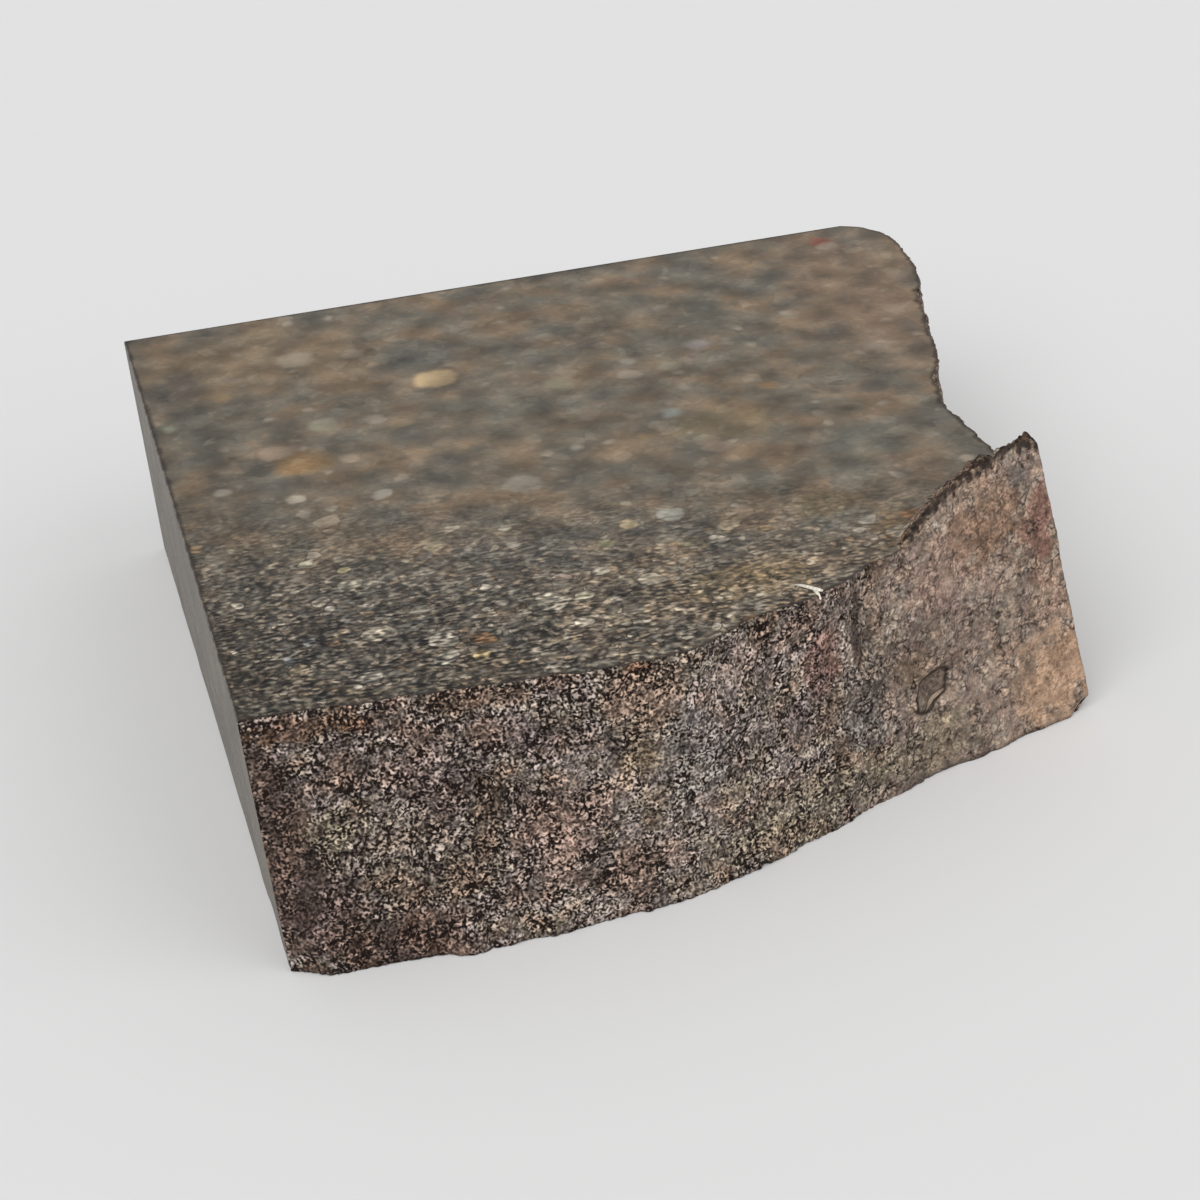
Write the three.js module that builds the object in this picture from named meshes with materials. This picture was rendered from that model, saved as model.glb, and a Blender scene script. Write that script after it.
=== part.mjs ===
import * as THREE from "three";
import { ParametricGeometry } from "three/addons/geometries/ParametricGeometry.js";
import { ImprovedNoise } from "three/addons/math/ImprovedNoise.js";

// A thick slice of a chondrite meteorite, one natural piece, in millimetres with +Z up.
// Four sides are sawn flat: the cut face on top, the underside, the left end and the back.
// Two are natural: the crusted front wall and the broken right-hand side.
// The plan starts at the front left corner of the cut face, with x to the right and y to the back,
// and z is 0 at the cut face. The finished stone is moved so that its origin lies under its middle.

const THICKNESS = 11.1;
const BACK = 37.8; // from the front left corner to the sawn back
const UNDERCUT_FRONT = 0.6; // how far the left end leans in at the underside, by the front wall
const UNDERCUT_BACK = 0.35; // and by the sawn back

// Where the natural walls meet each other, and where they meet the sawn back.
const FRONT_RIGHT_TOP = [33.6, 6.25];
const FRONT_RIGHT_BASE = [35.95, 7];
const BACK_RIGHT_TOP = [35.8, BACK];
const BACK_RIGHT_BASE = [36.6, BACK];

// The lip is what was left standing at the front right where the saw stopped and the slice broke off.
const LIP_START = [26.4, 3.4];
const LIP_RISE = 2.35;
const LIP_RUN = 4.4; // the crest climbs to its full height over this length
const LIP_CLIMB = 0.75; // below 1 the climb is steepest at its start
const LIP_CREST_WIDTH = 0.3;
const LIP_WIDTH = 2.9; // of its back slope down to the cut face, where it stands highest
const LIP_RAGGED = 0.3;

// The natural walls carry broad lumps with finer grain on them, both fading out at the sawn faces.
const LUMP = { size: 2.6, height: 0.3 };
const GRAIN = { size: 1.05, height: 0.16 };
const RELIEF_FADE = 1.2;
const BROKEN_SIDE = 1.5; // the right-hand side's lumps are higher by this share
const BROKEN_DEPTH = 4; // from this far below the cut face down

// Single swellings and hollows of the front wall: x, z, reach along the wall, height.
const KNOBS = [
  [7.3, -10.8, 0.9, 0.3],
  [9, -4.5, 1.4, -0.3],
  [18, -7, 2.2, 0.2],
  [25, -10.5, 1.3, -0.3],
  [28, -6.9, 1, -0.3],
  [29.1, -7.4, 0.8, 0.2],
];

// The lowest part of the front right corner is chipped off.
const CHIP_HEIGHT = 0.8;
const CHIP_REACH = 1.1;

const STONE_COLOUR = 0x6b6058;

// Two natural stretches of wall, each drawn at the cut face and at the underside.
const FRONT_TOP = [
  [0, 0],
  [4, -0.35],
  [8, -0.7],
  [12, -1.2],
  [16.2, -1.25],
  [18.6, -0.1],
  [22.3, 1.3],
  [26.6, 3.5],
  [30, 4.9],
  FRONT_RIGHT_TOP,
];
const FRONT_BASE = [
  [UNDERCUT_FRONT, 0],
  [2.4, -0.8],
  [5.5, -0.9],
  [9.2, -1.15],
  [14.3, -0.95],
  [17, -0.4],
  [19.4, 0.5],
  [23.8, 2.3],
  [28, 4.3],
  [32.6, 5.85],
  FRONT_RIGHT_BASE,
];
const SIDE_TOP = [
  FRONT_RIGHT_TOP,
  [33.1, 9],
  [33, 12],
  [32.8, 15.5],
  [33.6, 18.6],
  [34.7, 21.4],
  [35.3, 24.4],
  [36.1, 27.2],
  [37, 30],
  [37.6, 33.1],
  [37.5, 35.6],
  [36.9, 37],
  BACK_RIGHT_TOP,
];
const SIDE_BASE = [
  FRONT_RIGHT_BASE,
  [36, 9.5],
  [35.4, 13],
  [34.9, 17],
  [35.4, 21],
  [36.3, 25],
  [37.2, 29],
  [38, 33],
  [38, 35.6],
  [37.5, 37.1],
  BACK_RIGHT_BASE,
];

// The surface is a grid. Its columns go once round the plan, and its rows run from the middle of the
// underside out to its rim, up the wall, and from the upper rim in to the middle of the cut face.
const FRONT_COLUMNS = 72;
const SIDE_COLUMNS = 56;
const SAWN_COLUMNS = 5;
const WALL_ROWS = 20;
const TOP_RINGS = [0.975, 0.945, 0.91, 0.865, 0.8, 0]; // shares of the way from the middle to the rim
const ROWS = 1 + WALL_ROWS + TOP_RINGS.length;
const MIDDLE = new THREE.Vector2(18.5, 19);

const LIP_FOOT = new THREE.Vector2(...LIP_START);
const LIP_ALONG = new THREE.Vector2(...FRONT_RIGHT_TOP).sub(LIP_FOOT).normalize();
const LIP_INWARD = new THREE.Vector2(-LIP_ALONG.y, LIP_ALONG.x);

const noise = new ImprovedNoise();

function spline(points) {
  return new THREE.SplineCurve(points.map(([x, y]) => new THREE.Vector2(x, y)));
}

function line(from, to) {
  return new THREE.LineCurve(new THREE.Vector2(...from), new THREE.Vector2(...to));
}

// Columns of one stretch of wall: each is a plan point at the cut face and one at the underside.
function columnsOf(top, base, count) {
  return Array.from({ length: count }, (_, i) => ({
    top: top.getPointAt(i / count),
    base: base.getPointAt(i / count),
  }));
}

const COLUMNS = [
  ...columnsOf(spline(FRONT_TOP), spline(FRONT_BASE), FRONT_COLUMNS),
  ...columnsOf(spline(SIDE_TOP), spline(SIDE_BASE), SIDE_COLUMNS),
  ...columnsOf(
    line(BACK_RIGHT_TOP, [0, BACK]),
    line(BACK_RIGHT_BASE, [UNDERCUT_BACK, BACK]),
    SAWN_COLUMNS,
  ),
  ...columnsOf(line([0, BACK], [0, 0]), line([UNDERCUT_BACK, BACK], [UNDERCUT_FRONT, 0]), SAWN_COLUMNS),
];

// The outward direction of a column in plan, square to the line between its neighbours.
function outward(index) {
  const next = COLUMNS[(index + 1) % COLUMNS.length].top;
  const last = COLUMNS[(index + COLUMNS.length - 1) % COLUMNS.length].top;
  return new THREE.Vector2(next.y - last.y, last.x - next.x).normalize();
}

function noiseAt(x, y, z, size) {
  return noise.noise(x / size, y / size, z / size);
}

// Height of the stone above the cut face: 0 but for the lip, a wedge flush with the front wall.
function lipHeight(place) {
  const offset = place.clone().sub(LIP_FOOT);
  const along = offset.dot(LIP_ALONG);
  if (along <= 0) return 0;
  const climb = Math.min(1, along / LIP_RUN) ** LIP_CLIMB;
  const foot = LIP_CREST_WIDTH + LIP_WIDTH * climb;
  const slope = 1 - THREE.MathUtils.smoothstep(offset.dot(LIP_INWARD), LIP_CREST_WIDTH, foot);
  const ragged = 1 + LIP_RAGGED * noiseAt(place.x, place.y, 0, GRAIN.size);
  return LIP_RISE * climb * slope * ragged;
}

// How far the single swellings and hollows stand out at a place on the front wall.
function knobs(place, z) {
  const heights = KNOBS.map(([x, up, reach, height]) => {
    const away = Math.hypot(place.x - x, z - up) / reach;
    return height * Math.max(0, 1 - away * away);
  });
  return heights.reduce((sum, height) => sum + height);
}

// How far the wall stands out from its smooth plan at a place.
function relief(place, z, onSide) {
  const fromSawn = Math.min(place.x, BACK - place.y);
  const fade = THREE.MathUtils.smoothstep(fromSawn, UNDERCUT_FRONT, UNDERCUT_FRONT + RELIEF_FADE);
  const lumps = LUMP.height * noiseAt(place.x, place.y, z, LUMP.size);
  const grain = GRAIN.height * noiseAt(place.x, place.y, z, GRAIN.size);
  const broken = 1 + BROKEN_SIDE * THREE.MathUtils.clamp(-z / BROKEN_DEPTH, 0, 1);
  return fade * (grain + (onSide ? lumps * broken : lumps + knobs(place, z)));
}

// How far the chip at the foot of the front right corner cuts in.
function chip(place, z) {
  const fromCorner = place.distanceTo(COLUMNS[FRONT_COLUMNS].base);
  const beside = Math.max(0, 1 - fromCorner / CHIP_REACH);
  const below = Math.max(0, CHIP_HEIGHT - THICKNESS - z);
  return beside * below;
}

// The wall at a column and a height, as a plan point.
function wallPoint(index, z) {
  const { top, base } = COLUMNS[index];
  const smooth = top.clone().lerp(base, -z / THICKNESS);
  const standing = relief(smooth, z, index > FRONT_COLUMNS) - chip(smooth, z);
  return smooth.addScaledVector(outward(index), standing);
}

// The whole surface: u goes once round the plan, v from the middle of the underside to that of the top.
function stonePoint(u, v, target) {
  const index = Math.round(u * COLUMNS.length) % COLUMNS.length;
  const row = Math.round(v * ROWS) - 1;
  if (row < 0) {
    target.set(MIDDLE.x, MIDDLE.y, -THICKNESS);
    return;
  }
  const crest = lipHeight(COLUMNS[index].top);
  if (row <= WALL_ROWS) {
    const z = THREE.MathUtils.lerp(-THICKNESS, crest, row / WALL_ROWS);
    const place = wallPoint(index, z);
    target.set(place.x, place.y, z);
    return;
  }
  const place = MIDDLE.clone().lerp(wallPoint(index, crest), TOP_RINGS[row - WALL_ROWS - 1]);
  target.set(place.x, place.y, lipHeight(place));
}

function slab() {
  const geometry = new ParametricGeometry(stonePoint, COLUMNS.length, ROWS);
  geometry.computeBoundingBox();
  const centre = geometry.boundingBox.getCenter(new THREE.Vector3());
  geometry.translate(-centre.x, -centre.y, THICKNESS);
  const stone = new THREE.MeshStandardMaterial({ color: STONE_COLOUR, roughness: 0.75, metalness: 0.05 });
  const mesh = new THREE.Mesh(geometry, stone);
  mesh.name = "slab";
  return mesh;
}

const group = new THREE.Group();
group.add(slab());

export default group;
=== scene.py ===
"""A thick slice of a chondrite meteorite, lying on its sawn underside on a pale studio floor.

The stone is worked out in its own frame, in millimetres: x runs to the right from the front left corner of
the cut face, y to the back and z up from the cut face. `in_metres` takes it from there into the CAD frame.
"""

import math

import bpy
import numpy as np
from mathutils import Matrix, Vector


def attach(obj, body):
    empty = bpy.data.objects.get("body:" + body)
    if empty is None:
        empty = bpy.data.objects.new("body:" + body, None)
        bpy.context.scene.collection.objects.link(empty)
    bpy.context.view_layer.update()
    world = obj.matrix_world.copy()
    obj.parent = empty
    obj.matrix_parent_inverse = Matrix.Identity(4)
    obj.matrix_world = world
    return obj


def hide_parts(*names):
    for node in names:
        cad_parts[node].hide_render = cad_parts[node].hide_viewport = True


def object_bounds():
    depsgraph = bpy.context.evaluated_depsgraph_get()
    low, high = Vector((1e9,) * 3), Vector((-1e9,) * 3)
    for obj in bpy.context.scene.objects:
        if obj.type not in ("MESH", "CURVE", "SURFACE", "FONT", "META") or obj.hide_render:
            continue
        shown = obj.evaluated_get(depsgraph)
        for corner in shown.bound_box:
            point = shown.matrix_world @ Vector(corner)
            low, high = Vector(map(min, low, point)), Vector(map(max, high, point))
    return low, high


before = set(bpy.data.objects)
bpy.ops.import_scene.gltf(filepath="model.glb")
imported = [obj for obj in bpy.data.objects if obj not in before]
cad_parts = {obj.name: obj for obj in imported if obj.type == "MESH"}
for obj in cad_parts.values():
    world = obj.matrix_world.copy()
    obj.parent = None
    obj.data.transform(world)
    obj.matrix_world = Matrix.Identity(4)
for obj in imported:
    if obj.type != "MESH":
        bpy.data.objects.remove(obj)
cad_low, cad_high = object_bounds()

MM = 0.001

# ------------------------------------------------------------------------------
# The stone's driving dimensions, the same as in its CAD source.

THICKNESS = 11.1
BACK = 37.8
UNDERCUT_FRONT = 0.6
UNDERCUT_BACK = 0.35

FRONT_RIGHT_TOP = (33.6, 6.25)
FRONT_RIGHT_BASE = (35.95, 7)
BACK_RIGHT_TOP = (35.8, BACK)
BACK_RIGHT_BASE = (36.6, BACK)

# The two natural stretches of wall in plan, each at the cut face and at the underside.
FRONT_TOP = [
    (0, 0), (4, -0.35), (8, -0.7), (12, -1.2), (16.2, -1.25), (18.6, -0.1), (22.3, 1.3), (26.6, 3.5),
    (30, 4.9), FRONT_RIGHT_TOP,
]
FRONT_BASE = [
    (UNDERCUT_FRONT, 0), (2.4, -0.8), (5.5, -0.9), (9.2, -1.15), (14.3, -0.95), (17, -0.4), (19.4, 0.5),
    (23.8, 2.3), (28, 4.3), (32.6, 5.85), FRONT_RIGHT_BASE,
]
SIDE_TOP = [
    FRONT_RIGHT_TOP, (33.1, 9), (33, 12), (32.8, 15.5), (33.6, 18.6), (34.7, 21.4), (35.3, 24.4),
    (36.1, 27.2), (37, 30), (37.6, 33.1), (37.5, 35.6), (36.9, 37), BACK_RIGHT_TOP,
]
SIDE_BASE = [
    FRONT_RIGHT_BASE, (36, 9.5), (35.4, 13), (34.9, 17), (35.4, 21), (36.3, 25), (37.2, 29), (38, 33),
    (38, 35.6), (37.5, 37.1), BACK_RIGHT_BASE,
]

# The lip left standing at the front right corner.
LIP_START = np.array([26.4, 3.4])
LIP_RISE = 2.35
LIP_RUN = 4.4  # the crest climbs to its full height over this length
LIP_CLIMB = 0.75  # below 1 the climb is steepest at its start
LIP_CREST_WIDTH = 0.3
LIP_WIDTH = 2.9  # of its back slope down to the cut face, where it stands highest
LIP_RAGGED = 0.3

# Single swellings and hollows of the front wall: x, z, reach along the wall, height.
KNOBS = [
    (7.3, -10.8, 0.9, 0.3), (9, -4.5, 1.4, -0.3), (18, -7, 2.2, 0.2), (25, -10.5, 1.3, -0.3),
    (28, -6.9, 1, -0.3), (29.1, -7.4, 0.8, 0.2),
]

# ------------------------------------------------------------------------------
# The relief of the natural walls, coarse to fine: size of a lump and how far it stands out.

LUMPS = (2.6, 0.2)
KNOLLS = (1.05, 0.13)
GRAINS = (0.42, 0.12)
PITS = (0.62, 0.16)
PIT_FROM, PIT_AT = 0.3, 0.8  # the noise over which a pit opens
GRAIN_TOPS = 0.7  # grains stand out of the wall's plane above this value of `cobbles`
GRAIN_SHAKEN = (0.3, 0.12)  # size and reach of the noise that makes the grains uneven
# From the sawn faces the relief comes up between these distances, short of UNDERCUT_FRONT and past it.
RELIEF_START, RELIEF_FADE = 0.5, 1.2
SMOOTHER_FROM, SMOOTHER_AT = 24.5, 28.5  # the front wall turns smoother between these places
SMOOTH_SHARE = 0.4  # of the fine relief left there
SIDE_SHARE = 0.9  # and on the right-hand side
BROKEN_SIDE = 1.5  # the right-hand side's lumps are higher by this share, from BROKEN_DEPTH down
BROKEN_DEPTH = 4
CHIP_HEIGHT, CHIP_REACH = 0.8, 1.1
CORNER_SHARE = 0.25  # of the relief left at the front right corner
CORNER_FROM, CORNER_REACH = 0.3, 3.0  # and between which distances from it the rest comes back
CREVICE_FROM, CREVICE_GAIN = 0.75, 1.2  # a grain gets painted shade below this height, and how fast it grows
CREVICE_AT_SAWN = 0.4  # share of that painted shade by the sawn faces, where the relief is gone
SOFT_EDGE = 0.06  # width of the worn edges

# Noises of the lip, size, strength and seed: two that make its rise ragged, one for its crest, at full height
# from a third of the climb on, and one for the skin of its back.
LIP_NOISES = [(1.05, 0.7, 21), (0.4, 0.4, 22)]
LIP_JAGS = (0.28, 0.08, 23)
LIP_SKIN = (0.7, 0.1, 5)
LIP_GRAINS, LIP_GRAIN_TOPS = 0.12, 0.9  # height of the grains in that skin, and their GRAIN_TOPS
LIP_FROM, LIP_AT = 0.02, 0.3  # heights over the cut face between which the lip's stone begins
LIP_SHOWN = 0.3  # a face on more than this share of it is broken stone

# Seeds of the walls' noises.
LUMPS_SEED, KNOLLS_SEED, GRAINS_SEED, PITS_SEED = 1, 2, 3, 4
SHAKEN_SEEDS = (11, 12, 13)

# Small pits and bumps of the front wall, as KNOBS.
DETAILS = [
    (8.5, -4.2, 0.4, -0.3), (9.1, -4.75, 0.45, -0.35), (9.75, -4.4, 0.35, -0.25), (9.3, -5.4, 0.4, 0.15),
    (28.6, -7.5, 0.45, 0.18), (27.8, -6.7, 0.5, -0.16), (28, -7.3, 0.5, -0.16), (24.6, -3, 0.5, -0.15),
]
PIT_REACH = 0.5  # hollows up to this reach get painted shade inside

# The surface is a grid. Its columns go once round the plan, and its rows up the walls and in over the cut
# face.
FRONT_COLUMNS = 420
SIDE_COLUMNS = 220
BACK_COLUMNS = 34
LEFT_COLUMNS = 40
WALL_ROWS = 112
# How far each ring of the cut face lies inside its rim, in millimetres.
TOP_RINGS = np.array([
    0.07, 0.18, 0.31, 0.46, 0.62, 0.8, 1, 1.2, 1.42, 1.66, 1.9, 2.2, 2.5, 2.9, 3.4, 4.4, 7,
])
MIDDLE = np.array([18.5, 19])
MIDDLE_TO_RIM = 18.5  # about how far the rim lies from the middle
RAGGED_RIM = 1.2  # how far into the cut face its rim's raggedness is felt

FRONT, SIDE, BACK_FACE, LEFT = range(4)  # the kinds of column
CRUST, BROKEN, SAWN, CUT = range(4)  # the finishes, in the order in which the slab holds them


def smoothstep(value, low, high):
    """0 up to low, 1 from high, and 3t^2 - 2t^3 between them."""
    t = np.clip((value - low) / (high - low), 0, 1)
    return t * t * (3 - 2 * t)


def hashed(cell, seed, table):
    """A row of the table for each whole-numbered cell, always the same one: three look-ups in a shuffled
    0..255."""
    order = np.random.default_rng(seed).permutation(256)
    i, j, k = np.moveaxis(cell & 255, -1, 0)
    return table[order[(order[(order[i] + j) & 255] + k) & 255]]


def noise(points, size, seed):
    """Gradient noise, about -1 to 1. Each corner of a lattice of cubes carries a random arrow, and a point
    sums the eight corners' arrow . offset, weighted by 6t^5 - 15t^4 + 10t^3 along each axis."""
    arrows = np.random.default_rng(seed + 1000).normal(size=(256, 3))
    arrows /= np.linalg.norm(arrows, axis=1, keepdims=True)
    cell = np.floor(points / size).astype(int)
    t = points / size - cell
    fade = t**3 * (t * (t * 6 - 15) + 10)
    total = 0
    for corner in np.ndindex(2, 2, 2):
        weight = np.where(corner, fade, 1 - fade).prod(axis=-1)
        total = total + weight * (hashed(cell + corner, seed, arrows) * (t - corner)).sum(axis=-1)
    return 1.5 * total


def cobbles(points, size, seed):
    """Rounded grains, 1 on their tops and 0 in the joints: one seed is strewn in each cube, and with F1 and
    F2 the distances to the nearest and the next seed the height is 1 - (F1 / F2)^2."""
    strewn = np.random.default_rng(seed + 2000).random((256, 3))
    cell = np.floor(points / size).astype(int)
    t = points / size - cell
    nearest = np.full(points.shape[:-1], 9.0)
    second = nearest.copy()
    for step in np.ndindex(3, 3, 3):
        step = np.array(step) - 1
        away = np.linalg.norm(step + hashed(cell + step, seed, strewn) - t, axis=-1)
        second = np.minimum(second, np.maximum(nearest, away))
        nearest = np.minimum(nearest, away)
    return 1 - (nearest / second) ** 2


def smooth_curve(points, samples=80):
    """Places along the Catmull-Rom curve through the points, ends included. On the span from b to c, with a
    before and d after, a place is the cubic that leaves b along (c - a) / 2 and meets c along (d - b) / 2."""
    ends = np.array([points[0], *points, points[-1]], float)[:, None]
    a, b, c, d = ends[:-3], ends[1:-2], ends[2:-1], ends[3:]
    t = np.linspace(0, 1, samples, endpoint=False)[None, :, None]
    leave, meet = (c - a) / 2, (d - b) / 2
    curve = (2 * b - 2 * c + leave + meet) * t**3 + (3 * c - 3 * b - 2 * leave - meet) * t**2 + leave * t + b
    return np.vstack([curve.reshape(-1, ends.shape[-1]), ends[-1]])


def even_spline(points, count):
    """Count places evenly spaced along the smooth curve through the points, the last point left out."""
    curve = smooth_curve(points)
    length = np.append(0, np.cumsum(np.linalg.norm(np.diff(curve, axis=0), axis=1)))
    wanted = np.linspace(0, length[-1], count, endpoint=False)
    return np.stack([np.interp(wanted, length, curve[:, i]) for i in (0, 1)], axis=1)


def sawn_line(start, end, count):
    """Count places on a straight line, the end left out, crowded towards both ends as (1 - cos(pi t)) / 2."""
    t = (1 - np.cos(np.linspace(0, math.pi, count, endpoint=False)))[:, None] / 2
    return np.array(start) + (np.array(end) - start) * t


KIND = np.repeat([FRONT, SIDE, BACK_FACE, LEFT], [FRONT_COLUMNS, SIDE_COLUMNS, BACK_COLUMNS, LEFT_COLUMNS])
RIM_TOP = np.vstack([
    even_spline(FRONT_TOP, FRONT_COLUMNS),
    even_spline(SIDE_TOP, SIDE_COLUMNS),
    sawn_line(BACK_RIGHT_TOP, (0, BACK), BACK_COLUMNS),
    sawn_line((0, BACK), (0, 0), LEFT_COLUMNS),
])
RIM_BASE = np.vstack([
    even_spline(FRONT_BASE, FRONT_COLUMNS),
    even_spline(SIDE_BASE, SIDE_COLUMNS),
    sawn_line(BACK_RIGHT_BASE, (UNDERCUT_BACK, BACK), BACK_COLUMNS),
    sawn_line((UNDERCUT_BACK, BACK), (UNDERCUT_FRONT, 0), LEFT_COLUMNS),
])


def outward():
    """Each column's outward direction in plan, square to the line between its neighbours."""
    along = np.roll(RIM_TOP, -1, axis=0) - np.roll(RIM_TOP, 1, axis=0)
    square = np.stack([along[:, 1], -along[:, 0]], axis=1)
    return square / np.linalg.norm(square, axis=1, keepdims=True)


def lip_height(place):
    """Height of the stone over the cut face. Along the front wall the crest climbs as t^LIP_CLIMB to LIP_RISE
    over LIP_RUN, and behind it a smooth step falls over LIP_WIDTH times the climb. Noise makes it ragged."""
    along_lip = np.array(FRONT_RIGHT_TOP) - LIP_START
    along_lip /= np.linalg.norm(along_lip)
    offset = place - LIP_START
    along = offset @ along_lip
    inward = offset @ np.array([-along_lip[1], along_lip[0]])
    climb = np.clip(along / LIP_RUN, 0, 1) ** LIP_CLIMB
    foot = LIP_CREST_WIDTH + LIP_WIDTH * climb + 1e-6  # always past the crest, so that the step has a width
    slope = 1 - smoothstep(inward, LIP_CREST_WIDTH, foot)
    flat = np.concatenate([place, np.zeros(place.shape[:-1] + (1,))], axis=-1)
    ragged = 1 + LIP_RAGGED * sum(strength * noise(flat, size, seed) for size, strength, seed in LIP_NOISES)
    size, height, seed = LIP_JAGS
    jagged = height * np.clip(3 * climb, 0, 1) * noise(flat, size, seed)
    return (LIP_RISE * climb * ragged + jagged) * slope


def wall_relief(points, on_side):
    """How far the natural walls stand out of their smooth plan, and how deep in a crevice each point lies, which
    sets the painted shade there.
    Lumps, knolls, grains and pits add up. All fade out towards the sawn faces and shrink by the front right
    corner."""
    x, y, z = np.moveaxis(points, -1, 0)
    from_sawn = np.minimum(x, BACK - y)
    fade = smoothstep(from_sawn, UNDERCUT_FRONT - RELIEF_START, UNDERCUT_FRONT + RELIEF_FADE)
    corner = FRONT_RIGHT_TOP + np.subtract(FRONT_RIGHT_BASE, FRONT_RIGHT_TOP) * (-z / THICKNESS)[..., None]
    from_corner = np.linalg.norm(points[..., :2] - corner, axis=-1)
    fade = fade * (CORNER_SHARE + (1 - CORNER_SHARE) * smoothstep(from_corner, CORNER_FROM, CORNER_REACH))
    smoother = 1 - (1 - SMOOTH_SHARE) * smoothstep(x, SMOOTHER_FROM, SMOOTHER_AT)
    coarse = np.where(on_side, SIDE_SHARE, smoother)
    broken = np.where(on_side, 1 + BROKEN_SIDE * np.clip(-z / BROKEN_DEPTH, 0, 1), 1)
    lumps = LUMPS[1] * broken * noise(points, LUMPS[0], LUMPS_SEED)
    stand = lumps + KNOLLS[1] * noise(points, KNOLLS[0], KNOLLS_SEED)
    hollow = 0
    for knob_x, knob_z, reach, height in KNOBS + DETAILS:
        away = np.hypot(x - knob_x, z - knob_z) / reach
        swelling = np.where(on_side, 0, height * np.clip(1 - away**2, 0, 1))
        stand = stand + swelling
        hollow = hollow + (reach <= PIT_REACH) * np.clip(-3 * swelling, 0, 1)
    size, reach = GRAIN_SHAKEN
    pushed = points + reach * np.stack([noise(points, size, seed) for seed in SHAKEN_SEEDS], axis=-1)
    grain = cobbles(pushed, GRAINS[0], GRAINS_SEED)
    pit = smoothstep(noise(points, PITS[0], PITS_SEED), PIT_FROM, PIT_AT)
    fine = coarse * (GRAINS[1] * (grain - GRAIN_TOPS) - PITS[1] * pit)
    # painted shade: crevices, pits and small hollows get darker the deeper they lie
    crevice = np.clip((CREVICE_FROM - grain) * CREVICE_GAIN, 0, 1) + pit + hollow
    dark = CREVICE_AT_SAWN + (1 - CREVICE_AT_SAWN) * fade
    return fade * (stand + fine), np.clip(coarse * crevice * dark, 0, 1)


def wall():
    """The walls, (rows, columns, 3), from the foot up to the rim, and their crevices. A column is the
    straight line from its place at the underside to the one at the cut face, carried on above it to the lip's
    crest, and pushed outwards by the relief. The first and last rows are drawn in by SOFT_EDGE."""
    crest = lip_height(RIM_TOP)
    edge = SOFT_EDGE / THICKNESS
    share = np.concatenate([[0], np.linspace(edge, 1 - edge, WALL_ROWS - 1), [1]])[:, None]
    z = -THICKNESS + (THICKNESS + crest) * share
    plan = RIM_TOP + (RIM_BASE - RIM_TOP) * (-z / THICKNESS)[..., None]
    points = np.concatenate([plan, z[..., None]], axis=-1)
    stand, crevice = wall_relief(points, KIND == SIDE)
    from_chip = np.linalg.norm(plan - np.array(FRONT_RIGHT_BASE), axis=-1)
    stand = stand - np.clip(1 - from_chip / CHIP_REACH, 0, 1) * np.clip(CHIP_HEIGHT - THICKNESS - z, 0, None)
    points[..., :2] += outward() * stand[..., None]
    points[[0, -1], :, :2] += (MIDDLE - points[[0, -1], :, :2]) * (SOFT_EDGE / MIDDLE_TO_RIM)
    return points, crevice


def top_rings(rim):
    """The cut face, (rings, columns, 3): each ring is the rim drawn towards the middle, at the lip's height
    there, with a rough skin on the lip. The rim's raggedness dies out over RAGGED_RIM. Also how deep in a
    crevice each point lies, and how far on the lip."""
    settled = smoothstep(TOP_RINGS, 0, RAGGED_RIM)[:, None, None]
    outline = rim[..., :2] + (RIM_TOP - rim[..., :2]) * settled
    place = MIDDLE + (outline - MIDDLE) * (1 - TOP_RINGS / MIDDLE_TO_RIM)[:, None, None]
    height = lip_height(place)
    ring = np.concatenate([place, height[..., None]], axis=-1)
    on_lip = smoothstep(height, LIP_FROM, LIP_AT)
    grain = cobbles(ring, GRAINS[0], GRAINS_SEED)
    size, rough, seed = LIP_SKIN
    ring[..., 2] += on_lip * (LIP_GRAINS * (grain - LIP_GRAIN_TOPS) + rough * noise(ring, size, seed))
    # the lip's crevices get painted shade as well
    return ring, on_lip * np.clip(CREVICE_FROM - grain, 0, 1), on_lip


def in_metres(points):
    """Stone coordinates in millimetres to the CAD frame: the left end lies at its lowest x, the sawn back at
    its highest y and the underside at its lowest z."""
    shift = np.array([cad_low.x / MM, cad_high.y / MM - BACK, cad_low.z / MM + THICKNESS])
    return (points + shift) * MM


def from_places(points, places):
    """Plan distance of each point from the nearest of the places."""
    flat = points.reshape(-1, 3)[:, None, :2]
    return np.linalg.norm(flat - places[None, :, :2], axis=-1).min(axis=1).reshape(points.shape[:-1])


def mesh_object(name, points, faces, materials, face_material=None, attributes=None):
    """A smooth mesh in the CAD frame from points in millimetres. Each attribute has one number a point."""
    mesh = bpy.data.meshes.new(name)
    mesh.from_pydata(in_metres(points), [], faces)
    for material in materials:
        mesh.materials.append(material)
    if face_material is not None:
        mesh.polygons.foreach_set("material_index", face_material)
    for attribute, values in (attributes or {}).items():
        mesh.attributes.new(attribute, "FLOAT", "POINT").data.foreach_set("value", values.astype(np.float32))
    mesh.polygons.foreach_set("use_smooth", np.ones(len(mesh.polygons), bool))
    mesh.update()
    piece = bpy.data.objects.new(name, mesh)
    bpy.context.scene.collection.objects.link(piece)
    return piece


FAR = 3.0  # a distance in millimetres past which nothing is marked
CREST_FROM, CREST_AT = 0.05, 0.5  # heights over the cut face between which the rim becomes the lip's crest


def edge_distances(walls, rings):
    """For each point of the grid, its distance from the cut face's rim, along the wall or in plan, and from
    the lip's crest, both up to FAR."""
    crest = walls[-1, :, 2]
    below = np.clip(crest - walls[..., 2], 0, FAR)
    beside = np.minimum(from_places(rings, walls[-1]), FAR)
    from_rim = np.concatenate([below, beside])
    no_lip = FAR * (1 - smoothstep(crest, CREST_FROM, CREST_AT))
    return from_rim, np.minimum(from_rim + no_lip, FAR)


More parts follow.
